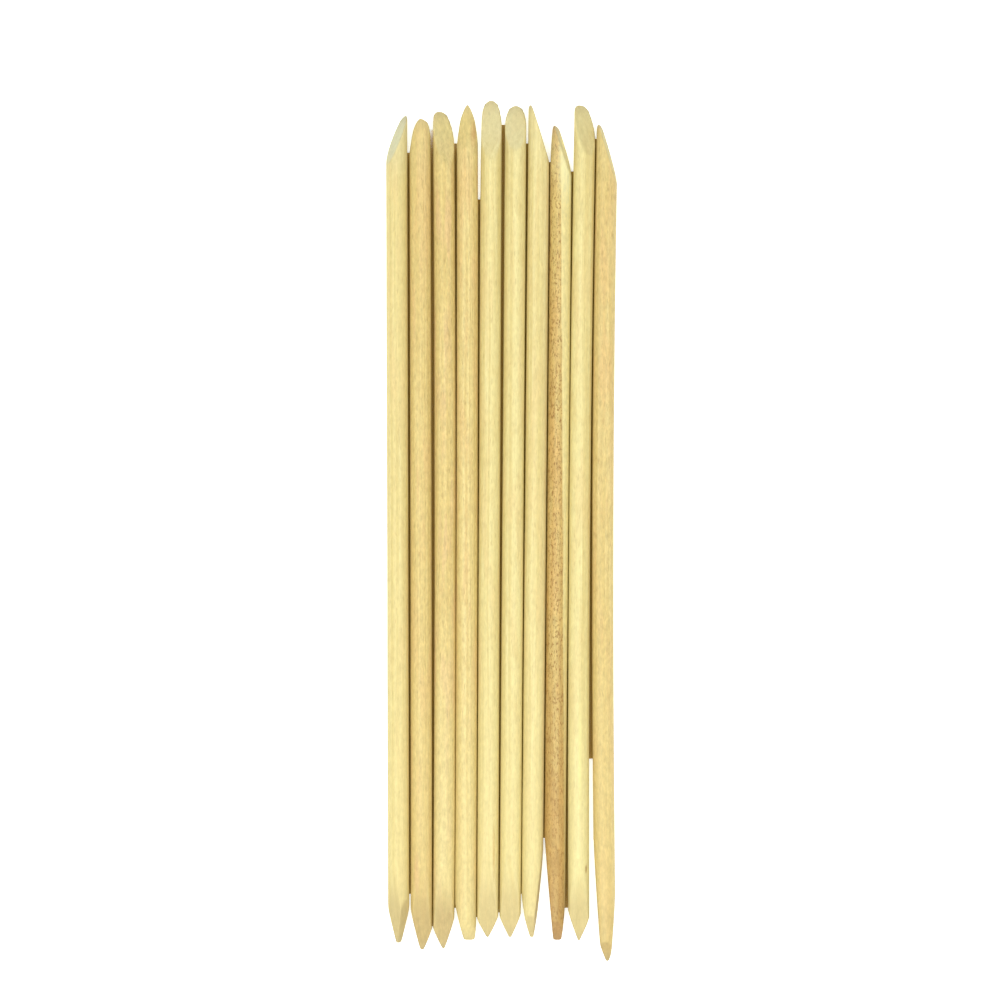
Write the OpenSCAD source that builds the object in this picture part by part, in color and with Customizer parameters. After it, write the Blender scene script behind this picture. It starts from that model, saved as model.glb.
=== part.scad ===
// Ten loose wooden cuticle sticks, laid side by side in a row on a flat surface.
// Each stick is one piece of wood: a round shank, a slanted hoof face for pushing at one end
// and a flattened point for cleaning at the other.
// +Y runs towards the hoof ends, +X across the row to the right, +Z up from the surface.
// The origin is on the surface, in the middle of the row.

/* [Row of sticks] */
// Usual length of a stick, from the tip of its hoof to its point
stick_l = 178; // [150:1:200]
// Diameter of the round shank
stick_d = 4.55; // [4:0.05:4.6]
// Distance from one stick's centre line to the next
pitch = 4.87; // [4.87:0.01:6]

/* [Hoof end] */
// Usual length of the slanted hoof face, measured along the stick
hoof_run = 11; // [8:0.5:16]
// Usual thickness of the wood left at the hoof's tip
hoof_tip = 0.2; // [0.1:0.05:0.8]

/* [Point end] */
// Usual length of the two flats that thin the point end to a wedge
wedge_run = 18; // [12:1:24]
// Usual half thickness of the wedge at its end
wedge_half = 0.6; // [0.3:0.1:1]
// Usual length of the two short cuts that bring the wedge to a point
vee_run = 4.5; // [3:0.5:8]
// Usual half width of the point at its end
vee_half = 0.2; // [0.1:0.05:0.4]

/* [Smoothness] */
// Sides of a full circle
round_sides = 96; // [48:8:256]

/* [Hidden] */

sticks = 10;
stick_r = stick_d / 2;
// Sides of a full circle on a bowed shank, which is a very short piece of a very large ring
bow_sides = 256;
// Size of the block that takes the wood off beyond a cut
block = 80;

// The woods, from the palest to the dark stick
pale_wood = "#f5e4a4";
honey_wood = "#eed592";
dark_wood = "#cda064";

// A cut is [roll, run, left]. It is a flat slanted cut that faces roll degrees round the stick,
// where 0 is up and 90 is to +X. It leaves the round surface run millimetres in from the end,
// and at the end itself it stands left millimetres off the centre line.
function hoof(roll, run = hoof_run, tip = hoof_tip) = [[roll, run, tip - stick_r]];
function side(roll, run, left) = [[roll, run, left]];
function wedge(roll, run = wedge_run, half = wedge_half) = [[roll, run, half], [roll + 180, run, half]];
function vee(roll, run = vee_run, other_run = vee_run, half = vee_half) =
    [[roll, run, half], [roll + 180, other_run, half]];

// The wood beyond one cut. way is 1 at the hoof end and -1 at the point end.
module cut_away(end_y, way, cut) {
    slope = atan2(stick_r - cut[2], cut[1]);
    translate([0, end_y, 0])
        rotate([0, cut[0], 0])
            translate([0, 0, cut[2]])
                rotate([-way * slope, 0, 0])
                    translate([-block / 2, -block / 2, 0])
                        cube(block);
}

// Round shank along Y. bow is how far its middle stands off to +X from the line between its ends.
module shank(point_y, hoof_y, bow) {
    run = hoof_y - point_y;
    if (bow == 0) {
        translate([0, point_y, 0])
            rotate([-90, 0, 0])
                cylinder(d = stick_d, h = run, $fn = round_sides);
    } else {
        bow_r = run * run / (8 * abs(bow));
        turn = 2 * asin(run / (2 * bow_r));
        mirror([bow < 0 ? 1 : 0, 0, 0])
            translate([abs(bow) - bow_r, (hoof_y + point_y) / 2, 0])
                rotate([0, 0, -turn / 2])
                    rotate_extrude(angle = turn, $fn = bow_sides)
                        translate([bow_r, 0])
                            circle(d = stick_d, $fn = round_sides);
    }
}

// One stick in its place in the row. place counts from 0 at the left. nudge moves it to +X from an
// even spacing, lean turns its hoof end to +X, and hoof_out and point_out move each end outwards
// from the usual length.
module loose_stick(place, hoof_cuts, point_cuts, hoof_out, point_out, nudge = 0, lean = 0, bow = 0) {
    hoof_y = stick_l / 2 + hoof_out;
    point_y = -stick_l / 2 - point_out;
    translate([(place - (sticks - 1) / 2) * pitch + nudge, 0, stick_r])
        rotate([0, 0, -lean])
            difference() {
                shank(point_y, hoof_y, bow);
                for (cut = hoof_cuts)
                    cut_away(hoof_y, 1, cut);
                for (cut = point_cuts)
                    cut_away(point_y, -1, cut);
            }
}

// Rolled on its side, with its hoof facing left
module stick_01() {
    color(pale_wood)
        loose_stick(0, hoof(-62, run = 10.5, tip = 0.3), concat(wedge(-40, run = 16), vee(50, 9.5, 9.5)),
                    hoof_out = -0.3, point_out = -0.9, nudge = -0.5, lean = -0.15);
}

// Hoof facing down, with one side of its tip pared away
module stick_02() {
    color(honey_wood)
        loose_stick(1, concat(hoof(186, run = 10, tip = 0.3), side(-90, 6, 0.7)),
                    concat(wedge(0), side(90, 4.5, 0.5), side(-90, 8.5, 0.2)),
                    hoof_out = -1.3, point_out = 0.5, nudge = -0.45, lean = -0.1);
}

// Hoof facing up and a little to the right
module stick_03() {
    color(honey_wood)
        loose_stick(2, hoof(24, run = 11.5, tip = 0.1), concat(wedge(0), vee(90, 6.5)),
                    hoof_out = 0.7, point_out = 0.3, nudge = -0.35);
}

// Hoof facing down, pared to a spear on both sides, and its wedge standing on edge
module stick_04() {
    color(honey_wood)
        loose_stick(3, concat(hoof(180, run = 12), side(90, 4.5, 0.5), side(-90, 4.5, 0.5),
                              side(90, 7.3, 1.1), side(-90, 7.3, 1.1)),
                    concat(side(90, 2.8, 1.9), side(-90, 7.8, 0.3), vee(0)),
                    hoof_out = 1.6, point_out = -1.5, nudge = -0.4, lean = 0.15);
}

// Hoof facing up, the longest face of the ten
module stick_05() {
    color(pale_wood)
        loose_stick(4, hoof(0, run = 13), concat(wedge(0), vee(90, 4.5, 4, half = 0.15)),
                    hoof_out = 3.1, point_out = -2.1, nudge = -0.4, lean = 0.25);
}

// Hoof facing up, short and round
module stick_06() {
    color(pale_wood)
        loose_stick(5, hoof(0, run = 10), concat(wedge(0), vee(90, 5)),
                    hoof_out = 2, point_out = -2.1, nudge = -0.25, lean = 0.4);
}

// Rolled on its side, with its hoof facing right
module stick_07() {
    color(pale_wood)
        loose_stick(6, hoof(88, run = 12, tip = 0.7),
                    concat(side(82, 18.5, 0.35), side(-98, 9, 0.4), vee(-8, 5, 5)),
                    hoof_out = 1.8, point_out = -2.1, nudge = -0.3, lean = 0.5);
}

// The dark stick, rolled over with its hoof facing right and its wedge standing on edge
module stick_08() {
    color(dark_wood)
        loose_stick(7, concat(hoof(60), side(-90, 9, 1.8)),
                    concat(side(-90, 22.5, 0.2), side(90, 7.5, 1.5), vee(0)),
                    hoof_out = -2.5, point_out = -1.5, nudge = -0.4, lean = 0.5);
}

// Hoof facing up and to the right, on a bowed shank
module stick_09() {
    color(pale_wood)
        loose_stick(8, hoof(30), concat(wedge(0), vee(90, 5, 6.5, half = 0.1)),
                    hoof_out = 2, point_out = -1.3, nudge = -0.1, lean = 0.45, bow = -0.5);
}

// Rolled on its side, on the most bowed shank, with its wedge standing on edge
module stick_10() {
    color(honey_wood)
        loose_stick(9, hoof(75, run = 13.5, tip = 0.3),
                    concat(side(-90, 26, 0.9), side(90, 14, 1), side(-90, 7, -0.1), side(90, 5.5, 0.65), vee(0)),
                    hoof_out = -2.3, point_out = 3, nudge = 0.4, lean = 0.25, bow = -0.8);
}

stick_01();
stick_02();
stick_03();
stick_04();
stick_05();
stick_06();
stick_07();
stick_08();
stick_09();
stick_10();
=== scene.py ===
# Ten loose wooden cuticle sticks in a row: hoof ends towards +Y, points towards -Y.
import math

import bmesh
import bpy
from mathutils import Matrix, Vector, noise


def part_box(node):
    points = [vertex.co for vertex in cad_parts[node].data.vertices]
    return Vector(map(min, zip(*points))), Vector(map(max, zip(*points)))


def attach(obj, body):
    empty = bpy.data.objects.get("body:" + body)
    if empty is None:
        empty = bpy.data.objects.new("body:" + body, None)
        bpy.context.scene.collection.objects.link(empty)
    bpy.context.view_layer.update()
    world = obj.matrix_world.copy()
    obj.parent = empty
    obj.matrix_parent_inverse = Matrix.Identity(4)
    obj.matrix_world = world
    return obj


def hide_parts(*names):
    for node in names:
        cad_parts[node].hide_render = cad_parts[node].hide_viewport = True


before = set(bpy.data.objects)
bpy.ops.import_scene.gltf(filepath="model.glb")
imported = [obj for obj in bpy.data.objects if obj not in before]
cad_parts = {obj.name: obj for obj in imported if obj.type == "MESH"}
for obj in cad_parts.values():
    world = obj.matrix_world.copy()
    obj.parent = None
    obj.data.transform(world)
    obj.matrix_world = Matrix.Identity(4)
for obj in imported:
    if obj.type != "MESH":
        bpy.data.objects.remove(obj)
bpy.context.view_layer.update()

mm = 0.001
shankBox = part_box("stick_05")
shankRadius = (shankBox[1][2] - shankBox[0][2]) / 2 / mm      # in millimetres
print("frame loaded: %d nodes, shanks %.2f mm thick" % (len(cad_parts), 2 * shankRadius))

row = {
    "places": 10,           # sticks in the row
    "pitch": 4.87,          # from one centre line to the next, mm
}

# sizes that all sticks share, in millimetres
blank = {
    "sides": 96,            # vertices round a stick
    "clipSides": 48,        # corners of the round outline that the cuts clip
    "shankStep": 2.0,       # ring spacing on the round shank
    "endStep": 0.5,         # ring spacing on the cut ends
    "pointReach": 27,       # how far in from the point the rings lie close
    "hoofReach": 15,        # and from the hoof's tip
    "tipSteps": [0, 0.02, 0.06, 0.12, 0.2, 0.32, 0.46, 0.64, 0.84, 1.06],     # rings at the very ends
    "hoofRound": 1.0,       # length over which a hoof's very end is rounded off
    "pointRound": 0.35,     # and a point's
    "tipLeft": 0.22,        # share of the section's width left on the very end
    "crown": 0.06,          # how far a sanded face swells at its middle
    "rimSoftness": 0.22,    # width over which a sanded rim is rounded
    "outOfRound": 0.02,     # slow unevenness of the shank
    "slowWave": (0.8, 0.03),    # scale of that noise round the stick, and along it per mm
    "grainDepth": 0.008,    # fine raised grain
    "fineWave": (5.0, 0.09),    # the same for the grain
    "seedStep": 7.3,        # keeps one stick's noise apart from the next one's
}


# A socket that can be written into sums and products
class Value:
    def __init__(self, finish, socket):
        self.finish = finish
        self.socket = socket

    def maths(self, operation, first, second):
        return self.finish.add("ShaderNodeMath", {"operation": operation}, {0: first, 1: second})

    def __add__(self, other):
        return self.maths("ADD", self, other)

    def __radd__(self, other):
        return self.maths("ADD", other, self)

    def __sub__(self, other):
        return self.maths("SUBTRACT", self, other)

    def __rsub__(self, other):
        return self.maths("SUBTRACT", other, self)

    def __mul__(self, other):
        return self.maths("MULTIPLY", self, other)

    def __rmul__(self, other):
        return self.maths("MULTIPLY", other, self)

    def __truediv__(self, other):
        return self.maths("DIVIDE", self, other)

    def __pow__(self, other):
        return self.maths("POWER", self, other)


# A material that is filled node by node
class Finish:
    def __init__(self, name):
        self.material = bpy.data.materials.new(name)
        self.material.use_nodes = True
        self.tree = self.material.node_tree
        self.tree.nodes.clear()

    # settings go first, then the sockets' values or links; returns the named output
    def add(self, kind, settings, sockets, output=0):
        node = self.tree.nodes.new(kind)
        for name, setting in settings.items():
            setattr(node, name, setting)
        for name, item in sockets.items():
            if isinstance(item, Value):
                self.tree.links.new(item.socket, node.inputs[name])
            else:
                node.inputs[name].default_value = item
        return Value(self, node.outputs[output])

    def show(self, shader):
        output = self.tree.nodes.new("ShaderNodeOutputMaterial")
        self.tree.links.new(shader.socket, output.inputs["Surface"])

    def attribute(self, name, output):
        return self.add("ShaderNodeAttribute", {"attribute_name": name}, {}, output)

    def vector(self, operation, first, second):
        return self.add("ShaderNodeVectorMath", {"operation": operation}, {0: first, 1: second})

    # noise stretched along the stick: features per mm across it and along it
    def noise(self, place, across, along, detail, roughness):
        scaled = self.vector("MULTIPLY", place, (across, along, across))
        return self.add("ShaderNodeTexNoise", {}, {"Vector": scaled, "Scale": 1.0, "Detail": detail,
                                                   "Roughness": roughness})

    # 0 below low, 1 above high, smooth between
    def between(self, value, low, high):
        return self.add("ShaderNodeMapRange", {"interpolation_type": "SMOOTHSTEP"},
                        {"Value": value, "From Min": low, "From Max": high})

    def mix(self, factor, first, second):
        return self.add("ShaderNodeMix", {"data_type": "RGBA"}, {0: factor, 6: first, 7: second}, 2)


# the linear colour of an everyday 0-255 colour
def tone(red, green, blue):
    linear = [((c / 255 + 0.055) / 1.055) ** 2.4 for c in (red, green, blue)]
    return (*linear, 1.0)


# noises in every stick's wood: features per mm across it and along it, detail, roughness
textures = {
    "wander": (0.12, 0.014, 2.0, 0.5),      # slow drift of the growth rings
    "streaks": (1.1, 0.02, 2.0, 0.6),
    "blush": (0.5, 0.05, 2.0, 0.5),
    "patches": (0.6, 0.16, 2.0, 0.6),
    "pores": (6.5, 0.5, 1.0, 0.5),
    "mottle": (1.5, 0.6, 3.0, 0.7),
    "fibres": (3.6, 0.3, 3.0, 0.65),
    "scratches": (0.7, 7.0, 2.0, 0.6),      # sanding marks, which run across the stick
}
# the colour layers over the growth rings: where in its noise each one starts and is full
colourLayers = {
    "streaks": (0.50, 0.70),
    "blush": (0.46, 0.68),
    "patches": (0.48, 0.70),
    "pores": (0.60, 0.70),
    "flecks": (0.50, 0.66),
}
growth = {
    "logSpacing": 37,               # sticks read the noises this far apart, mm
    "ringDetail": 2.0,
    "ringRoughness": 0.6,
    "lateFrom": (0.34, 0.64),       # where in the ring noise late wood starts and is full
    "sapRagged": (0.9, 0.3),        # how much streaks and patches fray the sapwood's edge, mm
    "sapEdge": 0.15,                # half the width over which that edge blends, mm
    "pointwardWoodAndLight": (5.0, 75.0, 0.5),    # the tone towards the point, partly the wood's own and partly painted light: from and to in mm, share
    "markRagged": 0.9,              # unevenness of a mark's outline, as a share of its size
    "markFade": (0.2, 1.0),         # shares of its size at which a mark starts to fade and is gone
}
# what sanding and handling do to the colour, lengths in mm
wear = {
    "turnsToHoof": 40.0,            # point tones turn to hoof tones within this of the middle
    "fade": (17.0, 6.0),            # a face's dull tone starts and is full this far in from its tip
    "fadeRagged": 6.0,              # unevenness of that start
    "roundShare": 0.3,              # how much of it the round wood beside the face takes
    "rim": 0.12,                    # share of the rim's tone along the edges of the faces
    "tip": (3.5, -0.5, 0.4),        # the handled tip: from and to, share
}
surface = {
    "fibreHeight": 0.6,             # heights in the bump, as shares of its depth
    "poreDepth": 0.5,
    "scratchHeight": 0.9,
    "bumpStrength": 0.3,
    "bumpDepth": 0.04,              # mm
    "roughness": 0.5,
    "fibreRoughness": 0.16,
    "sandedRoughness": 0.12,
    "specular": 0.35,
}


# growth rings round a pith line that lies outside the stick and drifts along it
def growthRings(wood, look, place, wander):
    x, y, z = place
    pithX, pithZ = look["pith"]
    across = x - pithX + (wander - 0.5) * look["wander"] + y * look["runOut"]
    upwards = z - pithZ
    distance = (across * across + upwards * upwards) ** 0.5
    rings = wood.add("ShaderNodeTexNoise", {"noise_dimensions": "1D"},
                     {"W": distance / look["ringGap"], "Scale": 1.0, "Detail": growth["ringDetail"],
                      "Roughness": growth["ringRoughness"]})
    return wood.between(rings, *growth["lateFrom"])


# the wood as it grew: rings, the layers over them, sapwood, and the tone towards the point, partly the
# wood's own and partly painted light
def grownColour(wood, look, place, noises):
    x, y = place[:2]
    rings = growthRings(wood, look, place, noises["wander"])
    colour = wood.mix(rings, tone(*look["early"]), tone(*look["late"]))
    for name, (start, full) in colourLayers.items():
        shade, strength = look[name]
        share = wood.between(noises[name], start, full)
        colour = wood.mix(share * strength, colour, tone(*shade))
    if "sapwood" in look:
        streaky, patchy = growth["sapRagged"]
        ragged = (noises["streaks"] - 0.5) * streaky + (noises["patches"] - 0.5) * patchy
        edge = x + ragged + y * look["sapSlope"] - look["sapFrom"]
        sap = wood.between(edge, -growth["sapEdge"], growth["sapEdge"])
        colour = wood.mix(sap, colour, tone(*look["sapwood"]))
    # painted light on most sticks, which are made lighter towards the point where the light falls
    # brighter; on the dark stick this tone is its own darker wood
    start, full, share = growth["pointwardWoodAndLight"]
    return wood.mix(wood.between(0 - y, start, full) * share, colour, tone(*look["pointwardWoodAndLight"]))


# one stick's own specks and stains, with some patches that are painted light or painted shade on a face
def markedColour(wood, marks, colour, grain, mottle):
    for markPlace, wide, long, strength, shade in marks:
        offset = wood.vector("SUBTRACT", grain, markPlace)
        offset = wood.vector("DIVIDE", offset, (wide, long, wide))
        reach = wood.add("ShaderNodeVectorMath", {"operation": "LENGTH"}, {0: offset}, "Value")
        outside = wood.between(reach + (mottle - 0.5) * growth["markRagged"], *growth["markFade"])
        colour = wood.mix((1 - outside) * strength, colour, tone(*shade))
    return colour


# sanding dulls each face, more and more towards its tip, which is handled most; the dark stick's lighter
# face tone is partly painted light
def handledColour(wood, stick, colour, y, sanded, mottle):
    look = stick["wood"]
    half = stick["half"]
    towardsHoof = wood.between(y, -wear["turnsToHoof"], wear["turnsToHoof"])
    face = wood.mix(towardsHoof, tone(*look["pointFace"]), tone(*look["hoofFace"]))
    fromMiddle = wood.add("ShaderNodeMath", {"operation": "ABSOLUTE"}, {0: y - stick["middleY"]})
    start, full = wear["fade"]
    fade = wood.between(fromMiddle + (mottle - 0.5) * wear["fadeRagged"], half - start, half - full)
    taken = wear["roundShare"] + sanded * (1 - wear["roundShare"])
    colour = wood.mix(taken * fade * look["facing"], colour, face)
    colour = wood.mix(wood.attribute("rim", "Fac") * wear["rim"], colour, tone(*look["rim"]))
    start, full, share = wear["tip"]
    atTips = wood.between(fromMiddle, half - start, half - full)
    return wood.mix(atTips * share, colour, tone(*look["tip"]))


# Wood that is duller and rougher where it was sanded
def makeWood(stick):
    look = stick["wood"]
    wood = Finish(stick["node"] + "_wood")
    grain = wood.attribute("grainMm", "Vector")
    sanded = wood.attribute("sanded", "Fac")
    place = [wood.add("ShaderNodeSeparateXYZ", {}, {0: grain}, axis) for axis in range(3)]
    ownLog = wood.vector("ADD", grain, (0, 0, growth["logSpacing"] * stick["place"]))
    noises = {name: wood.noise(ownLog, *setting) for name, setting in textures.items()}
    noises["flecks"] = wood.noise(ownLog, *look["fleckNoise"])
    mottle, fibres = noises["mottle"], noises["fibres"]

    colour = grownColour(wood, look, place, noises)
    colour = markedColour(wood, stick.get("marks", []), colour, grain, mottle)
    colour = handledColour(wood, stick, colour, place[1], sanded, mottle)
    shade = 1 + (mottle - 0.5) * look["mottling"] + (fibres - 0.5) * look["fibreDepth"]
    colour = wood.add("ShaderNodeVectorMath", {"operation": "SCALE"}, {0: colour, "Scale": shade})

    pores = wood.between(noises["pores"], *colourLayers["pores"])
    height = surface["fibreHeight"] * fibres - surface["poreDepth"] * pores
    height += sanded * (noises["scratches"] - 0.5) * surface["scratchHeight"]
    bump = wood.add("ShaderNodeBump", {}, {"Height": height, "Strength": surface["bumpStrength"],
                                           "Distance": surface["bumpDepth"] * mm}, "Normal")
    roughness = surface["roughness"] + surface["fibreRoughness"] * fibres
    roughness += surface["sandedRoughness"] * sanded
    wood.show(wood.add("ShaderNodeBsdfPrincipled", {},
                       {"Base Color": colour, "Roughness": roughness, "Normal": bump,
                        "Specular IOR Level": surface["specular"]}, "BSDF"))
    return wood.material


# A cut is (roll, run, left): it faces roll degrees round the stick, 0 up and 90 to +X, starts run
# millimetres in from the end, and at the end itself stands left millimetres off the centre line.
# A hoof is one slanting face that leaves the stick tip millimetres thick.
def hoof(roll, run, tip):
    return (roll, run, tip - shankRadius)


# two flat faces on opposite sides, each half millimetres off the centre line at the end
def wedge(roll, run=18, half=0.6):
    return [(roll, run, half), (roll + 180, run, half)]


# the blunt V across the wedge, whose two sides may run in unequally far
def vee(roll, run=4.5, otherRun=4.5, half=0.2):
    return [(roll, run, half), (roll + 180, otherRun, half)]


# the cuts that bite at y, as unit directions in x and z with how far off the centre line they stand
def cutsAt(stick, y):
    biting = []
    ends = (
        (stick["hoofCuts"], stick["hoofY"] - y),
        (stick["pointCuts"], y - stick["pointY"]),
    )
    for cuts, depth in ends:
        for roll, run, left in cuts:
            share = depth / run
            limit = left + (shankRadius - left) * share + blank["crown"] * 4 * share * (1 - share)
            if share < 1:
                biting.append((math.sin(math.radians(roll)), math.cos(math.radians(roll)), limit))
    return biting


# the centroid of the section that the cuts leave: the round outline is clipped by each in turn
def middleOf(biting):
    turns = [math.tau * i / blank["clipSides"] for i in range(blank["clipSides"])]
    outline = [Vector((math.sin(turn), math.cos(turn))) * shankRadius for turn in turns]
    for nx, nz, limit in biting:
        kept = []
        for here, after in zip(outline, outline[1:] + outline[:1]):
            over = here.x * nx + here.y * nz - limit
            overAfter = after.x * nx + after.y * nz - limit
            if over <= 0:
                kept.append(here)
            if over * overAfter < 0:
                kept.append(here.lerp(after, over / (over - overAfter)))
        outline = kept
    total = Vector((0, 0))
    area = 0
    for here, after in zip(outline, outline[1:] + outline[:1]):
        wedgeArea = (here - outline[0]).cross(after - outline[0])
        total += (here + after + outline[0]) / 3 * wedgeArea
        area += wedgeArea
    return total / area


# the smaller of the two, blended where they differ by less than width
def softMin(a, b, width):
    share = max(width - abs(a - b), 0) / width
    return min(a, b) - share * share * width / 4


# the share of the section's width that the rounded-off tip keeps at y
def tipShare(stick, y):
    fromEnd = min(stick["hoofY"] - y, y - stick["pointY"])
    tipRound = blank["hoofRound"] if y > 0 else blank["pointRound"]
    if fromEnd >= tipRound:
        return 1.0
    arc = math.sqrt(max(0, 1 - (1 - fromEnd / tipRound) ** 2))
    return blank["tipLeft"] + (1 - blank["tipLeft"]) * arc


# how far the round surface lies from the section's middle, in the direction ux, uz
def toRoundAlong(stick, y, ux, uz, middle):
    seed = stick["place"] * blank["seedStep"]
    slowAround, slowAlong = blank["slowWave"]
    fineAround, fineAlong = blank["fineWave"]
    inward = middle.x * ux + middle.y * uz
    toRound = -inward + math.sqrt(inward ** 2 + shankRadius ** 2 - middle.length_squared)
    uneven = noise.noise(Vector((ux * slowAround + seed, y * slowAlong, uz * slowAround)))
    raised = noise.noise(Vector((ux * fineAround + seed, y * fineAlong, uz * fineAround)))
    return toRound + uneven * blank["outOfRound"] + raised * blank["grainDepth"]


# the same for each cut that faces that way
def toCutsAlong(biting, ux, uz, middle):
    distances = []
    for nx, nz, limit in biting:
        facing = nx * ux + nz * uz
        if facing > 0:
            distances.append((limit - nx * middle.x - nz * middle.y) / facing)
    return distances


# moves one ring of vertices onto the section at y, and notes where each lies in the wood
def shapeRing(stick, verts, layers, y):
    biting = cutsAt(stick, y)
    middle = middleOf(biting) if biting else Vector((0, 0))
    roundOff = tipShare(stick, y)
    for vert in verts:
        turn = vert[layers["turn"]]
        ux, uz = math.sin(turn), math.cos(turn)
        toRound = toRoundAlong(stick, y, ux, uz, middle)
        toCuts = toCutsAlong(biting, ux, uz, middle)
        nearest = sorted([toRound, *toCuts])
        soft = min(blank["rimSoftness"], nearest[0])
        reach = toRound
        for toCut in toCuts:
            reach = softMin(reach, toCut, soft)
        vert[layers["sanded"]] = min(1, max(0, 0.5 + (toRound - min(toCuts)) / soft)) if toCuts else 0
        vert[layers["rim"]] = max(0, 1 - (nearest[1] - nearest[0]) / soft) if toCuts else 0
        reach *= roundOff
        vert.co = (middle.x + reach * ux, y, middle.y + reach * uz)
        vert[layers["grainMm"]] = vert.co


# ring places from the point to the hoof, close together on the cut ends
def ringPlaces(stick):
    low, high = stick["pointY"], stick["hoofY"]
    places = [low + step for step in blank["tipSteps"]]
    while places[-1] < high - blank["tipSteps"][-1] - blank["endStep"]:
        onShank = low + blank["pointReach"] < places[-1] < high - blank["hoofReach"] - blank["shankStep"]
        places.append(places[-1] + (blank["shankStep"] if onShank else blank["endStep"]))
    return places + [high - step for step in reversed(blank["tipSteps"])]


def placeX(stick):
    return (stick["place"] - (row["places"] - 1) / 2) * row["pitch"] + stick["nudge"]


# one stick by itself, straight along Y, in millimetres
def turnStick(stick):
    bm = bmesh.new()
    layers = {name: bm.verts.layers.float.new(name) for name in ("turn", "sanded", "rim")}
    layers["grainMm"] = bm.verts.layers.float_vector.new("grainMm")
    ring = bmesh.ops.create_circle(bm, segments=blank["sides"], radius=shankRadius)["verts"]
    for vert in ring:
        vert[layers["turn"]] = math.atan2(vert.co.x, vert.co.y)
    edges = list(bm.edges)
    ends = [edges]
    places = ringPlaces(stick)
    shapeRing(stick, ring, layers, places[0])
    for y in places[1:]:
        made = bmesh.ops.extrude_edge_only(bm, edges=edges)["geom"]
        ring = [g for g in made if isinstance(g, bmesh.types.BMVert)]
        fresh = set(ring)
        edges = [g for g in made if isinstance(g, bmesh.types.BMEdge) and fresh.issuperset(g.verts)]
        shapeRing(stick, ring, layers, y)
    ends.append(edges)
    for loop in ends:
        bmesh.ops.edgeloop_fill(bm, edges=loop)
    bmesh.ops.recalc_face_normals(bm, faces=bm.faces)
    bm.verts.layers.float.remove(layers["turn"])
    return bm


# bow, then lean, then the stick's own place in the row
def layStick(stick, bm):
    for vert in bm.verts:
        vert.co.x += stick["bow"] * (1 - ((vert.co.y - stick["middleY"]) / stick["half"]) ** 2)
    bmesh.ops.rotate(bm, verts=bm.verts, matrix=Matrix.Rotation(math.radians(-stick["lean"]), 3, "Z"))
    bmesh.ops.translate(bm, verts=bm.verts, vec=(placeX(stick), 0, shankRadius))
    bmesh.ops.scale(bm, verts=bm.verts, vec=(mm, mm, mm))


def makeStick(stick):
    low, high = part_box(stick["node"])
    stick["pointY"], stick["hoofY"] = low[1] / mm, high[1] / mm
    stick["middleY"] = (stick["hoofY"] + stick["pointY"]) / 2
    stick["half"] = (stick["hoofY"] - stick["pointY"]) / 2
    bm = turnStick(stick)
    layStick(stick, bm)
    for face in bm.faces:
        face.smooth = True
    mesh = bpy.data.meshes.new(stick["node"] + "_wood")
    bm.to_mesh(mesh)
    bm.free()
    mesh.materials.append(makeWood(stick))
    piece = bpy.data.objects.new(stick["node"] + "_wood", mesh)
    bpy.context.collection.objects.link(piece)
    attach(piece, stick["node"])
    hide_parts(stick["node"])
    sticks.append(stick)
    print("%s: %d faces" % (stick["node"], len(mesh.polygons)))


sticks = []

# Three kinds of wood. A layer is its colour and how strongly it shows.
palest = {
    "early": (223, 210, 146),
    "late": (213, 196, 128),
    "streaks": ((230, 219, 158), 0.6),
    "blush": ((221, 198, 135), 0.5),
    "patches": ((209, 189, 123), 0.35),
    "pores": ((176, 145, 85), 0.3),
    "flecks": ((198, 164, 102), 0.1),
    "fleckNoise": (2.6, 0.75, 3.0, 0.65),       # as in textures
    "pointwardWoodAndLight": (227, 213, 150),
    "hoofFace": (211, 202, 155),
    "pointFace": (193, 174, 120),
    "rim": (190, 168, 112),
    "tip": (176, 160, 118),
    "facing": 0.7,                  # how far the faces' own tones cover the wood
    "mottling": 0.34,               # how much mottle and fibres lighten and darken the wood
    "fibreDepth": 0.18,
    "pith": (9.0, -14.0),           # x and z of the pith line, mm
    "ringGap": 0.9,                 # mm
    "wander": 1.6,                  # how far the rings wander, mm
    "runOut": 0.004,                # how far they drift across per mm along the stick
}
honey = {
    **palest,
    "early": (219, 199, 131),
    "late": (209, 186, 116),
    "streaks": ((225, 207, 143), 0.6),
    "blush": ((217, 183, 122), 0.5),
    "patches": ((204, 179, 110), 0.35),
    "pores": ((160, 124, 68), 0.4),
    "flecks": ((186, 148, 88), 0.25),
    "pointwardWoodAndLight": (216, 194, 128),
    "hoofFace": (209, 196, 137),
    "pointFace": (174, 151, 100),
    "mottling": 0.5,
}
dark = {
    **honey,
    "early": (206, 182, 111),
    "late": (194, 164, 94),
    "streaks": ((214, 190, 123), 0.6),
    "blush": ((203, 160, 92), 0.5),
    "patches": ((180, 147, 82), 0.6),
    "pores": ((122, 88, 42), 0.5),
    "flecks": ((146, 106, 52), 0.85),
    "fleckNoise": (2.6, 1.3, 3.0, 0.65),
    "pointwardWoodAndLight": (180, 142, 80),
    # painted light: the hoof face is the pale sapwood, made lighter still to offset the shade on its
    # steep facet
    "hoofFace": (232, 222, 168),
    "pointFace": (168, 132, 84),
    "rim": (158, 124, 76),
    "tip": (158, 126, 88),
    "facing": 0.75,
    "mottling": 0.6,
    "fibreDepth": 0.3,
}

# Sizes are in mm. Nudge shifts a stick off its even place in the row, lean turns it in degrees, bow
# bends its middle towards +X. A mark is (place in the stick, half its width, half its length,
# strength, colour).

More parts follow.
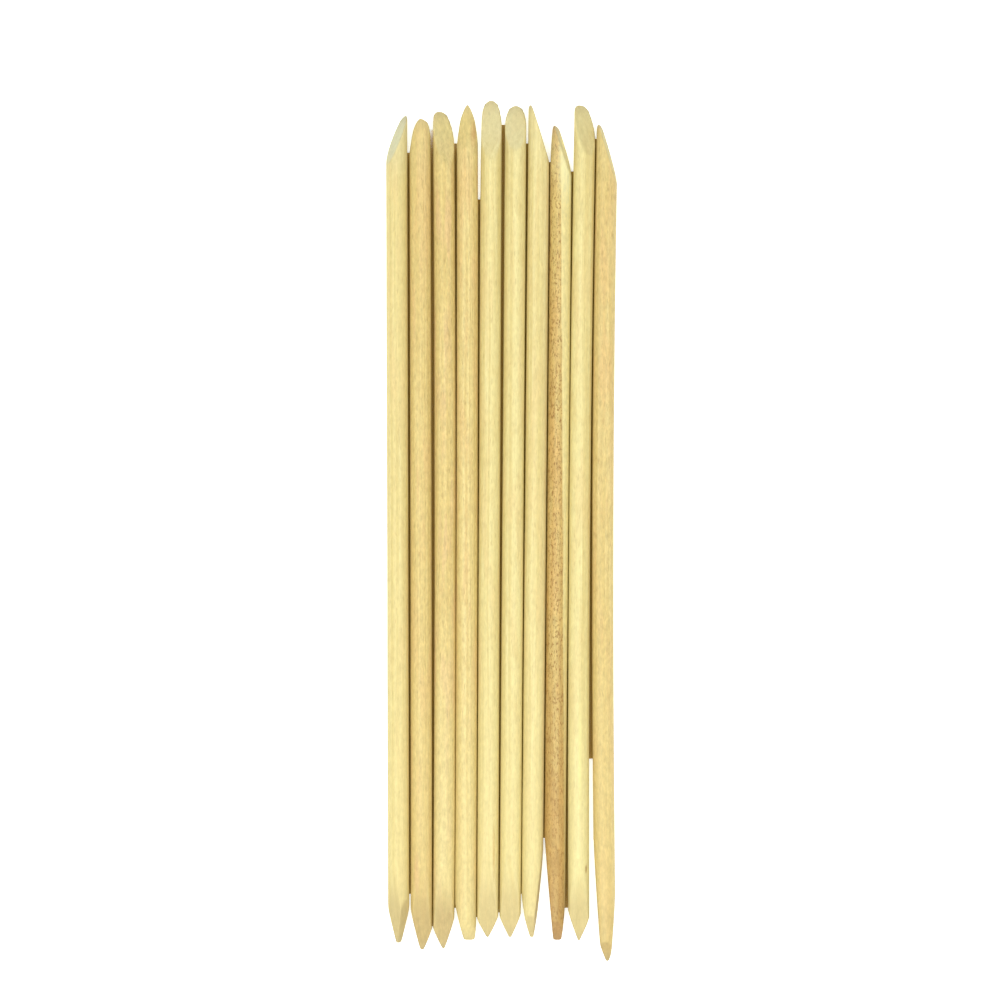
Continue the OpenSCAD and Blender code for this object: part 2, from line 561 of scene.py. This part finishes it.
# rolled on its side, hoof to the left
makeStick({
    "node": "stick_01", "slot": "pale_wood", "place": 0, "nudge": -0.5, "lean": -0.15, "bow": 0.0,
    "hoofCuts": [hoof(-62, 10.5, 0.3)],
    "pointCuts": wedge(-40, run=16) + vee(50, 9.5, 9.5),
    "wood": {**palest, "pith": (-8.0, -12.0), "early": (221, 205, 140), "pointwardWoodAndLight": (221, 205, 140),
             "hoofFace": (206, 205, 167), "facing": 0.85},
})

# hoof down, one side of its tip pared away
makeStick({
    "node": "stick_02", "slot": "honey_wood", "place": 1, "nudge": -0.47, "lean": -0.1, "bow": 0.08,
    "hoofCuts": [hoof(186, 10, 0.3), (-90, 4.2, 0.3), (-90, 7, 0.9), (90, 1.2, 0.7)],
    "pointCuts": wedge(0) + [(90, 4.5, 0.5), (-90, 8.5, 0.2)],
    "wood": {**honey, "pith": (12.0, -10.0)},
    "marks": [
        ((-0.9, -73, 1.8), 0.9, 7, 0.5, (214, 172, 122)),
        ((-0.6, 10, 2.2), 0.5, 9, 0.35, (216, 176, 116)),
    ],
})

# hoof up and a little to the right
makeStick({
    "node": "stick_03", "slot": "honey_wood", "place": 2, "nudge": -0.46, "lean": 0.0, "bow": 0.36,
    "hoofCuts": [hoof(24, 11.5, 0.35)],
    "pointCuts": wedge(0) + vee(90, 6.5),
    "wood": {**honey, "pith": (-10.0, 16.0), "blush": ((217, 185, 130), 0.7), "mottling": 0.6,
             "pointwardWoodAndLight": (226, 213, 152)},
    "marks": [((1.2, -82, 1.2), 0.5, 1.6, 0.4, (160, 124, 80))],
})

# hoof down, pared to a spear, wedge on edge
makeStick({
    "node": "stick_04", "slot": "honey_wood", "place": 3, "nudge": -0.42, "lean": 0.15, "bow": 0.12,
    "hoofCuts": [
        hoof(180, 12, 0.2),
        (90, 5, 0.3), (-90, 5, 0.3),
        (90, 8, 1.0), (-90, 8, 1.0),
        (90, 20, 2.1),
    ],
    "pointCuts": [(90, 2.8, 1.9), (-90, 7.8, 0.3)] + vee(0),
    "wood": {**honey, "pith": (-14.0, 9.0), "early": (221, 203, 136), "pointwardWoodAndLight": (224, 208, 144),
             "pointFace": (214, 196, 134)},
    "marks": [
        ((0.0, 86, 1.4), 2.6, 8, 0.8, (196, 176, 104)),
        # painted shade: the orange dark on the right face of the spear tip
        ((1.1, 84.5, 1.5), 1.1, 4.2, 0.85, (188, 138, 80)),
        ((-0.8, 60, 2.1), 0.6, 8, 0.4, (226, 208, 140)),
    ],
})

# hoof up, the longest face, with a dark speck on it
makeStick({
    "node": "stick_05", "slot": "pale_wood", "place": 4, "nudge": -0.4, "lean": 0.25, "bow": 0.0,
    "hoofCuts": [hoof(0, 13, 0.2), (-90, 20, 1.9)],
    "pointCuts": wedge(0) + vee(90, 4.5, 4.0, half=0.15),
    "wood": {**palest, "pith": (10.0, 15.0)},
    "marks": [
        ((-0.35, 89.2, -1.1), 0.5, 0.6, 0.6, (140, 124, 82)),
        ((1.2, -68, 1.8), 0.4, 9, 0.55, (206, 168, 100)),
    ],
})

# hoof up, short and round
makeStick({
    "node": "stick_06", "slot": "pale_wood", "place": 5, "nudge": -0.25, "lean": 0.4, "bow": 0.0,
    "hoofCuts": [hoof(0, 10, 0.2)],
    "pointCuts": wedge(0) + vee(90, 5.0),
    "wood": {**palest, "pith": (-12.0, -18.0)},
})

# rolled on its side, hoof to the right
makeStick({
    "node": "stick_07", "slot": "pale_wood", "place": 6, "nudge": -0.3, "lean": 0.5, "bow": 0.0,
    "hoofCuts": [hoof(88, 12, 0.7)],
    "pointCuts": [(82, 18.5, 0.35), (-98, 9, 0.4)] + vee(-8, 5, 5),
    "wood": {**palest, "pith": (14.0, 6.0), "early": (221, 206, 143)},
})

# the dark stick, wedge on edge; the pale sapwood lies more than sapFrom to the right, and further
# left by sapSlope for each mm towards the hoof
makeStick({
    "node": "stick_08", "slot": "dark_wood", "place": 7, "nudge": -0.4, "lean": 0.5, "bow": 0.0,
    "hoofCuts": [hoof(75, 10.5, 1.2), (-90, 8, 1.8)],
    "pointCuts": [(-90, 22.5, 0.2), (90, 7.5, 1.5)] + vee(0),
    "wood": {**dark, "pith": (9.0, -7.0), "sapwood": (222, 207, 142), "sapFrom": 1.0, "sapSlope": 0.0135},
    # painted light: a pale patch on the hoof's right facet, partly pale sapwood and partly lightening
    # against that facet's shade
    "marks": [((1.5, 79.5, 1.4), 2.8, 14, 0.9, (230, 224, 168))],
})

# hoof up and to the right, bowed shank
makeStick({
    "node": "stick_09", "slot": "pale_wood", "place": 8, "nudge": -0.1, "lean": 0.45, "bow": -0.5,
    "hoofCuts": [hoof(30, 11, 0.42)],
    "pointCuts": wedge(0) + vee(90, 5, 6.5, half=0.1),
    "wood": {**palest, "pith": (-9.0, 12.0), "hoofFace": (209, 197, 141), "pointwardWoodAndLight": (228, 219, 156)},
    "marks": [
        ((1.6, -72.1, 1.6), 0.5, 1.2, 0.65, (152, 108, 54)),
        ((0.3, -48, 2.2), 0.6, 16, 0.6, (229, 220, 146)),
    ],
})

# rolled on its side, the most bowed shank, wedge on edge
makeStick({
    "node": "stick_10", "slot": "honey_wood", "place": 9, "nudge": 0.3, "lean": 0.13, "bow": -0.8,
    "hoofCuts": [hoof(78, 12.5, 0.7)],
    "pointCuts": [(-90, 26, 0.9), (90, 14, 1.0), (-90, 7, -0.1), (90, 5.5, 0.65)] + vee(0),
    "wood": {**honey, "pith": (11.0, 11.0), "early": (214, 192, 126), "mottling": 0.55,
             "pointFace": (176, 152, 98), "facing": 0.75},
})
print("ten sticks made")

studio = {
    "floorSize": 4.0,               # metres
    "floorDrop": 0.03,              # the painted shade strips lie this far under the row and the floor twice that, mm
    "floorColour": (0.9, 0.9, 0.87, 1),
    "floorGlow": 0.55,              # a light table under everything but the shut gaps
    "glowColour": (0.9, 0.97, 1, 1),
    # painted shade: the brown of the strips under the shut gaps, in place of the shade between the sticks
    "gapShadeColour": (0.5, 0.31, 0.06, 1),
    "stripWidth": 4.0,              # mm
    "stripPieces": 12,
    "paintRoughness": 0.9,
    "coverHeight": 3.0,             # wood this near over a strip covers it, mm
    "coverSamples": 8,
    "bare": (0.42, 0.7),            # openness at which a strip starts and ends turning into floor
    "shutGaps": [                   # from and to along Y, mm
        (-78, 81), (-85, 86), (-81, 83), (-83, 71), (-82, 87),
        (-78, 83), (-66, 79), (-81, 77), (-49, 84),
    ],
    "sky": 0.4,                     # strength of the pale room all round
    "boxes": {                      # soft boxes: place and size in metres, watts
        "left": ((-0.45, -0.15, 1.0), 0.7, 5.5),
        "right": ((0.41, -0.15, 1.0), 0.7, 4.8),
        "low": ((-0.03, -0.12, 0.5), 0.25, 0.7),
    },
    "lens": 100,
    "viewWidth": 0.2137,            # metres across the view at the height of the shanks
    "aim": (-0.56 * mm, 6.5 * mm),  # where the camera looks straight down
}


def stageSheet(name, bm, makeColours):
    mesh = bpy.data.meshes.new(name)
    bm.to_mesh(mesh)
    bm.free()
    sheet = bpy.data.objects.new(name, mesh)
    bpy.context.collection.objects.link(sheet)
    paint = Finish(name + "_paint")
    colour, glow = makeColours(paint)
    paint.show(paint.add("ShaderNodeBsdfPrincipled", {},
                         {"Base Color": colour, "Roughness": studio["paintRoughness"],
                          "Emission Color": glow, "Emission Strength": studio["floorGlow"]}, "BSDF"))
    mesh.materials.append(paint.material)


def floorColours(paint):
    return studio["floorColour"], studio["glowColour"]


# painted shade: brown and unlit while sticks lie over the strip, like the floor once they are lifted
def gapShadeColours(paint):
    openness = paint.add("ShaderNodeAmbientOcclusion", {"samples": studio["coverSamples"]},
                         {"Distance": studio["coverHeight"] * mm}, "AO")
    bare = paint.between(openness, *studio["bare"])
    return (paint.mix(bare, studio["gapShadeColour"], studio["floorColour"]),
            paint.mix(bare, (0, 0, 0, 1), studio["glowColour"]))


bm = bmesh.new()
floorZ = -2 * studio["floorDrop"] * mm
bmesh.ops.create_grid(bm, x_segments=1, y_segments=1, size=studio["floorSize"] / 2,
                      matrix=Matrix.Translation((0, 0, floorZ)))
stageSheet("floor", bm, floorColours)

# where two sticks lie close, a strip of painted shade under the gap between them, in place of the shade
# there
bm = bmesh.new()
for left, right, (fromY, toY) in zip(sticks, sticks[1:], studio["shutGaps"]):
    centre = (placeX(left) + placeX(right)) / 2
    lean = math.radians((left["lean"] + right["lean"]) / 2)
    bend = (left["bow"] + right["bow"]) / 2
    strip = bmesh.ops.create_grid(bm, x_segments=1, y_segments=studio["stripPieces"], size=0.5)["verts"]
    for vert in strip:
        y = fromY + (vert.co.y + 0.5) * (toY - fromY)
        x = centre + y * math.sin(lean) + bend * (1 - (y / left["half"]) ** 2)
        vert.co = ((x + vert.co.x * studio["stripWidth"]) * mm, y * mm, -studio["floorDrop"] * mm)
stageSheet("painted_gap_shade", bm, gapShadeColours)

world = bpy.data.worlds.new("sky")
world.use_nodes = True
background = world.node_tree.nodes["Background"]
background.inputs["Color"].default_value = (1, 1, 1, 1)
background.inputs["Strength"].default_value = studio["sky"]
bpy.context.scene.world = world

for name, (place, width, watts) in studio["boxes"].items():
    boxData = bpy.data.lights.new(name + "_box", "AREA")
    boxData.energy = watts
    boxData.size = width
    box = bpy.data.objects.new(name + "_box", boxData)
    box.location = place
    box.rotation_euler = (-Vector(place)).to_track_quat("-Z", "Y").to_euler()
    bpy.context.collection.objects.link(box)

cameraData = bpy.data.cameras.new("camera")
cameraData.lens = studio["lens"]
camera = bpy.data.objects.new("camera", cameraData)
rise = studio["viewWidth"] * studio["lens"] / cameraData.sensor_width
camera.location = (*studio["aim"], rise + shankRadius * mm)
bpy.context.collection.objects.link(camera)
bpy.context.scene.camera = camera
bpy.context.scene.view_settings.view_transform = "Standard"
print("studio set")
